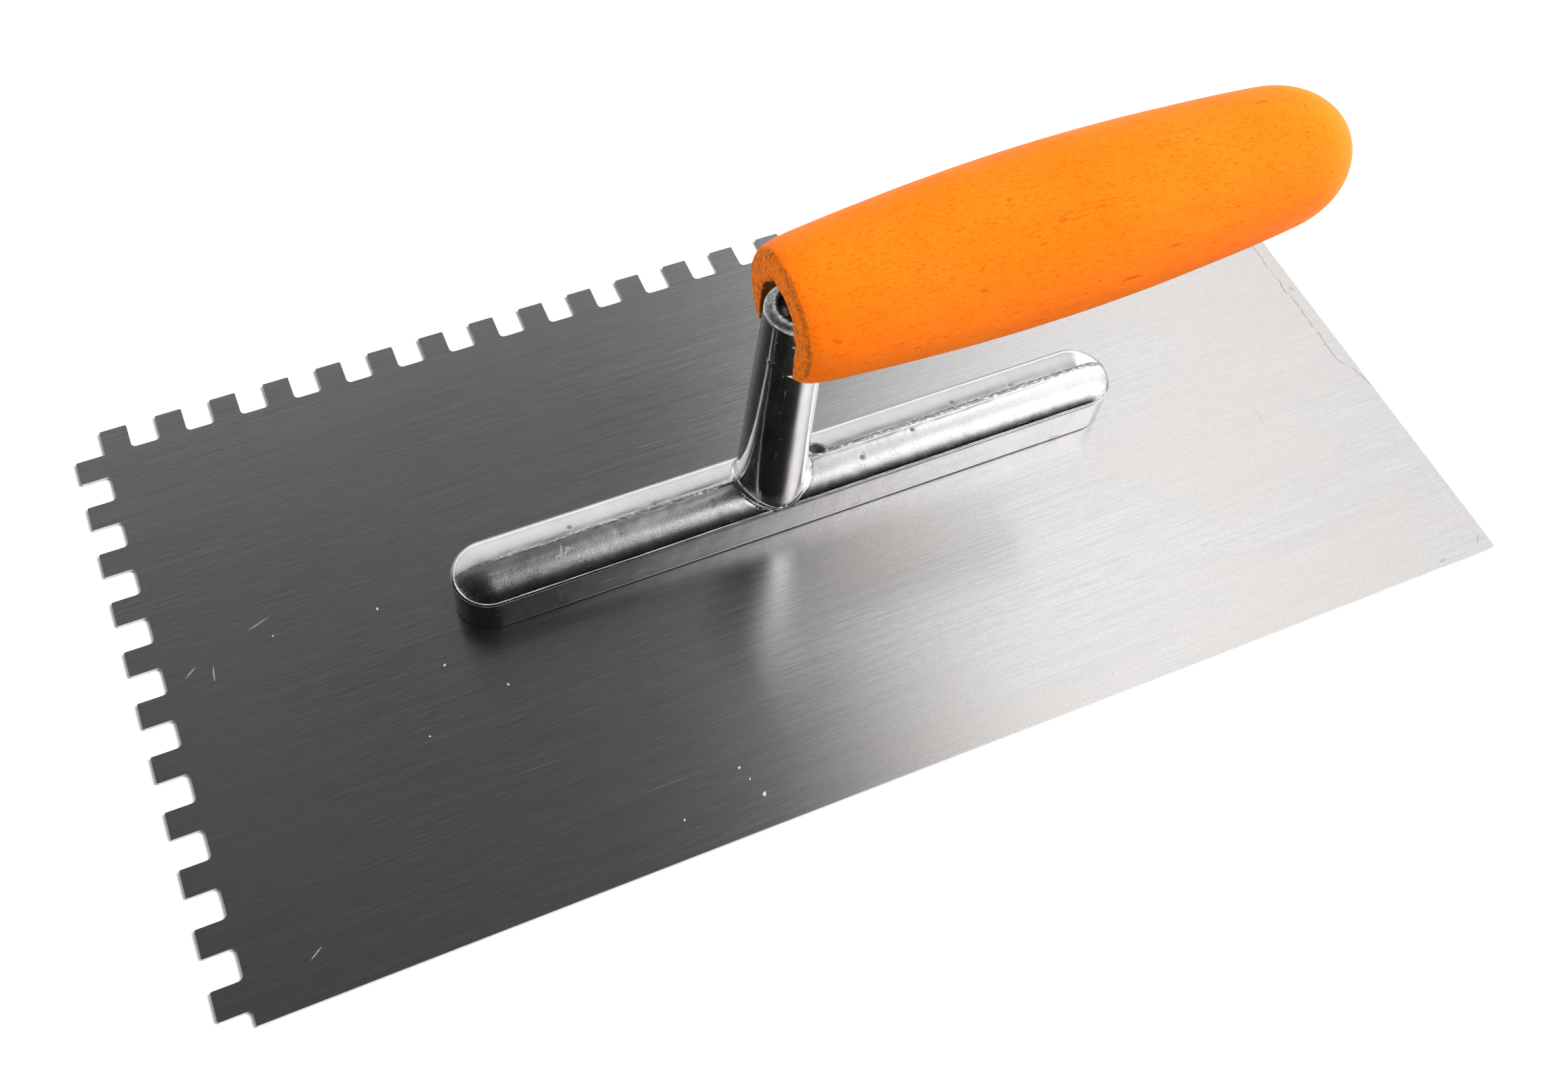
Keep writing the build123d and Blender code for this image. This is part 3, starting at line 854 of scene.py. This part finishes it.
    # painted dark reflection mixed into the base colour, broken up by the grain
    base = m.mix(m.math("MULTIPLY", painted_dark_band, m.ramp(grain, 0.36, 0.64, 0.35, 0.90)), base, (0.25, 0.255, 0.265))
    strokes = None
    for px, py, pl, pa in ((-49.9, -2.3, 1.5, 1.25), (-49.0, -2.7, 1.2, 0.9), (-48.2, -2.1, 0.9, -0.5), (-50.6, -2.9, 0.8, 0.3), (-9.0, -5.2, 0.9, 0.5), (3.0, 1.5, 1.1, -0.7), (20.5, 3.0, 1.0, 0.8)):
        k = m.spot((px, py + BAR_Y, Z0 + BAR_H - 0.3), (pl, 0.20, 3), ragged=0.9, edge=0.35, rot=pa)
        strokes = k if strokes is None else m.math("MAXIMUM", strokes, k)
    base = m.mix(m.math("MULTIPLY", strokes, 0.8), base, (0.92, 0.92, 0.92))
    base = m.mix(m.math("MULTIPLY", seam, 0.88), base, (0.13, 0.128, 0.125))
    # painted shade with grime: the ledge line darkened in the base colour
    base = m.mix(m.math("MULTIPLY", ledge_grime_and_shade, 0.65), base, (0.16, 0.16, 0.16))
    # painted contact shadow: the foot of the bar darkened where it meets the blade
    base = m.mix(m.math("MULTIPLY", contact_shadow, 0.85), base, (0.05, 0.05, 0.05))
    base = m.mix(m.math("MULTIPLY", pin, 0.6), base, (0.30, 0.28, 0.26))
    base = m.mix(m.math("MULTIPLY", ground, m.ramp(fine, 0.36, 0.58, 0.35, 1.0)), base, (0.36, 0.36, 0.35))
    # painted shade: the pocket darkened near black
    base = m.mix(pocket_shade, base, (0.030, 0.030, 0.031))
    base = m.mix(m.math("MULTIPLY", pit, 0.95), base, (0.036, 0.022, 0.014))
    m.link(base, b.inputs["Base Color"])
    m.link(m.math("SUBTRACT", 1.0, m.math("MULTIPLY", pit, 0.9)), b.inputs["Metallic"])
    r = m.math("ADD", 0.120, m.math("MULTIPLY", m.math("SUBTRACT", blot, 0.5), 0.12))
    r = m.math("ADD", r, m.math("MULTIPLY", m.math("SUBTRACT", marks, 0.5), 0.10))
    r = m.math("ADD", r, m.math("MULTIPLY", bar_top, 0.10))
    r = m.math("ADD", r, m.math("MULTIPLY", worn, 0.08))
    r = m.mixf(m.math("MAXIMUM", m.math("MULTIPLY", sc, 0.6), strokes), r, 0.42)
    r = m.mixf(m.math("MAXIMUM", ground, pocket_shade), r, 0.55)
    r = m.mixf(m.math("MAXIMUM", m.math("MULTIPLY", seam, 0.5), pit), r, 0.50)
    m.link(r, b.inputs["Roughness"])
    h = m.math("ADD", m.math("MULTIPLY", marks, 0.35), m.math("MULTIPLY", fine, 0.25))
    h = m.math("MULTIPLY", h, m.math("SUBTRACT", 1.0, m.math("MULTIPLY", on_post, 0.93)))
    n1 = m.bump(h, 0.0000035)
    rough_h = m.math("MULTIPLY", grain, m.math("ADD", worn, m.math("MULTIPLY", ground, 1.4)))
    n2 = m.bump(m.math("SUBTRACT", rough_h, m.math("ADD", m.math("MULTIPLY", sc, 0.3), m.math("ADD", m.math("MULTIPLY", seam, 0.15), pin))), 0.000009, normal=n1)
    m.link(n2, b.inputs["Normal"])
    return m.m


def handle_material():
    m = Mat("painted_wood")
    b = m.b
    x, y, z = m.xyz()
    # long pores of the wood telegraph through the thin paint
    pores = m.noise(m.mapped((720, 3800, 3800)), 2.0, 0.6)
    pores2 = m.noise(m.mapped((320, 2300, 2300), loc=(3, 3, 3)), 1.0, 0.5)
    grain = m.noise(m.mapped((16, 190, 190), loc=(1, 2, 5)), 3.0, 0.6)
    mottle = m.noise(m.mapped((420, 420, 420)), 4.0, 0.65)
    cloud = m.noise(m.mapped((38, 38, 38)), 2.0, 0.5)
    peel = m.noise(m.mapped((800, 800, 800)), 2.0, 0.5)
    pore = m.ramp(pores, 0.58, 0.68)
    pore2 = m.ramp(pores2, 0.69, 0.75)
    xe = m.math("ADD", x, m.math("MULTIPLY", m.math("SUBTRACT", m.noise(m.mapped((900, 900, 900), loc=(7, 7, 7)), 3.0, 0.6), 0.5), 0.0006))
    face = m.ramp(xe, (HX + 0.30) * MM, (HX + 0.85) * MM, 1.0, 0.0)
    # inside the slot: painted shade, the slot walls coloured near black-brown
    ys = m.math("SUBTRACT", y, BAR_Y * MM)
    zs = m.math("MAXIMUM", m.math("SUBTRACT", z, (Z0 + SLOT_TOP - SLOT_W / 2) * MM), 0.0)
    arch = m.math("SQRT", m.math("ADD", m.math("MULTIPLY", ys, ys), m.math("MULTIPLY", zs, zs)))
    slot_shade = m.math("MULTIPLY", m.ramp(arch, 0.00695, 0.00740, 1.0, 0.0), m.ramp(x, (SLOT_END_X + 0.3) * MM, (SLOT_END_X + 0.7) * MM, 1.0, 0.0))
    base = m.mix(m.ramp(cloud, 0.35, 0.68), (0.95, 0.186, 0.006), (0.97, 0.208, 0.010))
    base = m.mix(m.math("MULTIPLY", m.ramp(mottle, 0.46, 0.70), 0.30), base, (0.90, 0.140, 0.005))
    base = m.mix(m.math("MULTIPLY", m.ramp(grain, 0.45, 0.75), 0.22), base, (0.88, 0.132, 0.004))
    base = m.mix(m.math("MULTIPLY", pore, 0.48), base, (0.66, 0.070, 0.003))
    base = m.mix(m.math("MULTIPLY", pore2, 0.36), base, (0.62, 0.065, 0.003))
    flecks = None
    for c, rr in FLECKS:
        s = m.spot(c, rr, ragged=0.7, edge=0.35)
        flecks = s if flecks is None else m.math("MAXIMUM", flecks, s)
    base = m.mix(m.math("MULTIPLY", flecks, 0.55), base, (0.58, 0.075, 0.004))
    # end grain: thirstier, darker and dusty
    eg = m.noise(m.mapped((500, 1900, 1900)), 3.0, 0.65)
    base = m.mix(m.math("MULTIPLY", face, 0.85), base, (0.90, 0.175, 0.006))
    base = m.mix(m.math("MULTIPLY", face, m.ramp(eg, 0.38, 0.62, 0.0, 0.70)), base, (0.50, 0.110, 0.006))
    edge_d = m.math("MULTIPLY", face, m.ramp(m.noise(m.mapped((1300, 1000, 1000)), 5.0, 0.70), 0.46, 0.60))
    base = m.mix(m.math("MULTIPLY", edge_d, 0.72), base, (0.20, 0.105, 0.036))
    # painted shade inside the slot
    base = m.mix(m.math("MULTIPLY", slot_shade, 0.94), base, (0.050, 0.018, 0.004))
    m.link(base, b.inputs["Base Color"])
    r = m.math("ADD", 0.50, m.math("MULTIPLY", m.math("SUBTRACT", mottle, 0.5), 0.16))
    r = m.mixf(face, r, 0.72)
    m.link(r, b.inputs["Roughness"])
    b.inputs["Specular IOR Level"].default_value = 0.04
    b.inputs["IOR"].default_value = 1.48
    h = m.math("SUBTRACT", m.math("ADD", m.math("MULTIPLY", peel, 0.5), m.math("MULTIPLY", mottle, 0.35)), m.math("ADD", m.math("MULTIPLY", pore, 0.8), m.math("ADD", pore2, flecks)))
    n1 = m.bump(h, 0.00005)
    n2 = m.bump(m.math("MULTIPLY", eg, face), 0.00025, normal=n1)
    m.link(n2, b.inputs["Normal"])
    return m.m


FLECKS = [
    ((87.8, 2.2, 81.6), (1.5, 0.45, 2.0)), ((53.6, -16.7, 68.3), (1.7, 2.0, 0.45)), ((61.9, -15.6, 72.6), (1.6, 2.0, 0.35)),
    ((-2.6, -13.1, 71.4), (0.7, 2.0, 0.35)), ((24.0, -14.0, 74.5), (0.7, 1.5, 0.35)), ((40.5, -9.0, 80.4), (0.9, 0.4, 1.5)),
    ((75.0, -13.0, 75.5), (0.6, 1.2, 0.3)), ((33.0, -3.0, 82.0), (0.6, 0.3, 1.5)), ((12.0, -14.6, 66.0), (0.9, 1.5, 0.3)),
    ((46.0, 15.3, 70.0), (1.2, 1.5, 0.4)), ((70.0, 12.0, 77.0), (0.9, 1.5, 0.4)), ((20.0, 9.0, 55.0), (1.1, 1.0, 0.5)),
    ((92.0, -9.0, 58.0), (0.9, 1.4, 0.4)), ((60.0, 4.0, 50.9), (1.3, 0.5, 1.5)),
]


def rivet_material():
    m = Mat("ground_rivets")
    b = m.b
    n = m.noise(m.mapped((90, 5200, 900)), 3.0, 0.6)
    k = m.noise(m.mapped((800, 800, 800)), 3.0, 0.6)
    base = m.mix(m.ramp(n, 0.35, 0.65), (0.66, 0.665, 0.67), (0.78, 0.78, 0.785))
    base = m.mix(m.math("MULTIPLY", m.ramp(k, 0.5, 0.75), 0.4), base, (0.50, 0.50, 0.51))
    m.link(base, b.inputs["Base Color"])
    b.inputs["Metallic"].default_value = 1.0
    m.link(m.ramp(n, 0.3, 0.7, 0.28, 0.44), b.inputs["Roughness"])
    m.link(m.bump(n, 0.00001), b.inputs["Normal"])
    return m.m


def assign(ob, mat):
    ob.data.materials.clear()
    ob.data.materials.append(mat)


mats = {"blade": blade_material(), "casting": casting_material(), "handle": handle_material(), "rivet": rivet_material()}


def repaint(node, mat):
    ob = nodes[node]
    if len(ob.material_slots) == 0:
        ob.data.materials.append(mat)
    for s in ob.material_slots:
        s.material = mat


repaint("blade", mats["blade"])
repaint("blade_rivets", mats["rivet"])
bev = nodes["blade"].modifiers.new("edge", "BEVEL")
bev.width = 0.00009
bev.segments = 2
bev.limit_method = "ANGLE"
bev.angle_limit = math.radians(50)
assign(casting, mats["casting"])
assign(handle, mats["handle"])
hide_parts("mounting_casting")
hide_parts("handle")
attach(casting, "root")
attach(handle, "root")
handle.visible_glossy = False


# ---------------------------------------------------------------- stage, light, camera
def floor():
    me = bpy.data.meshes.new("floor")
    s = 4.0
    zf = -0.00005
    me.from_pydata([(-s, -s, zf), (s, -s, zf), (s, s, zf), (-s, s, zf)], [], [(0, 1, 2, 3)])
    ob = bpy.data.objects.new("floor", me)
    scene.collection.objects.link(ob)
    m = Mat("floor_white")
    m.b.inputs["Base Color"].default_value = (0.93, 0.93, 0.93, 1)
    m.b.inputs["Roughness"].default_value = 0.9
    m.b.inputs["Specular IOR Level"].default_value = 0.0
    ob.data.materials.append(m.m)
    return ob


floor()


def area(name, loc, look, size, power, colour=(1, 1, 1)):
    d = bpy.data.lights.new(name, "AREA")
    d.shape = "RECTANGLE"
    d.size, d.size_y = size
    d.energy = power
    d.color = colour
    ob = bpy.data.objects.new(name, d)
    scene.collection.objects.link(ob)
    ob.location = loc
    ob.rotation_mode = "QUATERNION"
    ob.rotation_quaternion = (Vector(look) - Vector(loc)).to_track_quat("-Z", "Y")
    return ob


# soft lights for the paint and the floor; the metal mirrors the studio only
for n, loc, size, power in (("key", (1.12, -0.28, 1.25), (1.0, 0.9), 40.0), ("left_fill", (-1.60, 0.25, 0.55), (1.0, 0.8), 17.0)):
    area(n, loc, (0.02, 0.0, 0.04), size, power).visible_glossy = False

# the studio round it: dark overhead, a wide soft wall of light to the right and a low one behind
w = bpy.data.worlds.new("studio")
w.use_nodes = True
wt = w.node_tree
bg = wt.nodes["Background"]


def wn(kind):
    return wt.nodes.new(kind)


def wmath(op, a, b=0.0):
    n = wn("ShaderNodeMath")
    n.operation = op
    for i, v in enumerate((a, b)):
        if hasattr(v, "is_output"):
            wt.links.new(v, n.inputs[i])
        else:
            n.inputs[i].default_value = v
    return n.outputs[0]


def wramp(v, pts):
    n = wn("ShaderNodeFloatCurve")
    c = n.mapping.curves[0]
    while len(c.points) < len(pts):
        c.points.new(0.5, 0.5)
    for p, (px, py) in zip(c.points, pts):
        p.location = (px, py)
        p.handle_type = "VECTOR"
    n.mapping.update()
    wt.links.new(v, n.inputs["Value"])
    return n.outputs[0]


wco = wn("ShaderNodeTexCoord").outputs["Generated"]
ws = wn("ShaderNodeSeparateXYZ")
wt.links.new(wco, ws.inputs[0])
dx, dy, dz = ws.outputs
late = wmath("MULTIPLY", wmath("MAXIMUM", wmath("SUBTRACT", dy, 0.40), 0.0), 0.8)
wall_r = wramp(wmath("SUBTRACT", dx, late), [(0.0, 0.0), (0.22, 0.0), (0.27, 0.22), (0.31, 0.60), (0.35, 0.92), (0.40, 1.0), (0.48, 0.93), (0.60, 0.80), (1.0, 0.78)])
wall_r = wmath("MULTIPLY", wall_r, wramp(dy, [(0.0, 0.80), (0.20, 1.0), (0.38, 1.0), (0.48, 0.84), (0.60, 0.78), (0.85, 0.42), (1.0, 0.42)]))
wall_b = wmath("MULTIPLY", wramp(dy, [(0.0, 0.0), (0.44, 0.0), (0.60, 0.25), (0.80, 1.0), (1.0, 1.0)]), wramp(dz, [(0.0, 0.5), (0.20, 1.0), (0.50, 0.9), (0.85, 0.35), (1.0, 0.0)]))
back = wramp(wmath("ADD", wmath("MULTIPLY", dy, 0.5), 0.5), [(0.0, 0.0), (0.47, 0.0), (0.62, 1.0), (1.0, 1.0)])
back = wmath("MULTIPLY", back, wramp(wmath("ADD", wmath("MULTIPLY", dx, 0.5), 0.5), [(0.0, 0.25), (0.30, 0.30), (0.45, 1.0), (1.0, 1.0)]))
ndy = wmath("MULTIPLY", dy, -1.0)
slant = wmath("ADD", dx, wmath("MULTIPLY", wmath("SUBTRACT", 0.45, ndy), 0.45))
front = wmath("MULTIPLY", wramp(ndy, [(0.0, 0.0), (0.03, 0.0), (0.22, 1.0), (0.60, 1.0), (0.86, 0.0), (1.0, 0.0)]), wramp(slant, [(0.0, 0.0), (0.18, 0.0), (0.24, 0.08), (0.28, 0.22), (0.32, 0.58), (0.37, 0.96), (0.38, 1.0), (1.0, 1.0)]))
rad = wmath("ADD", wmath("ADD", wmath("MULTIPLY", back, 0.078), 0.010), wmath("MULTIPLY", wall_r, 1.50))
rad = wmath("MAXIMUM", wmath("ADD", rad, wmath("MULTIPLY", wall_b, 0.80)), wmath("MULTIPLY", front, 1.95))
# seen directly, the backdrop is one plain pale tone
eye = wn("ShaderNodeLightPath").outputs["Is Camera Ray"]
rad = wmath("ADD", wmath("MULTIPLY", rad, wmath("SUBTRACT", 1.0, eye)), wmath("MULTIPLY", eye, 0.95))
wt.links.new(rad, bg.inputs[1])
bg.inputs[0].default_value = (1.0, 1.0, 1.0, 1.0)
scene.world = w

cam_d = bpy.data.cameras.new("camera")
cam = bpy.data.objects.new("camera", cam_d)
scene.collection.objects.link(cam)
cam_d.sensor_fit = "HORIZONTAL"
cam_d.sensor_width = 36.0
cam_d.lens = 37.946
cam_d.shift_x = 0.0648
cam_d.shift_y = -0.0605
cam_d.clip_start = 0.01
cam_d.clip_end = 20
rot = Matrix(((0.92417314, -0.37983898, 0.04032815),
              (0.29851416, 0.78407885, 0.54415958),
              (-0.23831347, -0.49085915, 0.83801193)))
cam.matrix_world = Matrix.Translation((-0.098447, -0.153327, 0.293316 + Z0 * MM)) @ rot.transposed().to_4x4()
scene.camera = cam
scene.view_settings.view_transform = "Standard"
scene.view_settings.look = "None"
scene.view_settings.exposure = 0.0

bpy.context.view_layer.update()
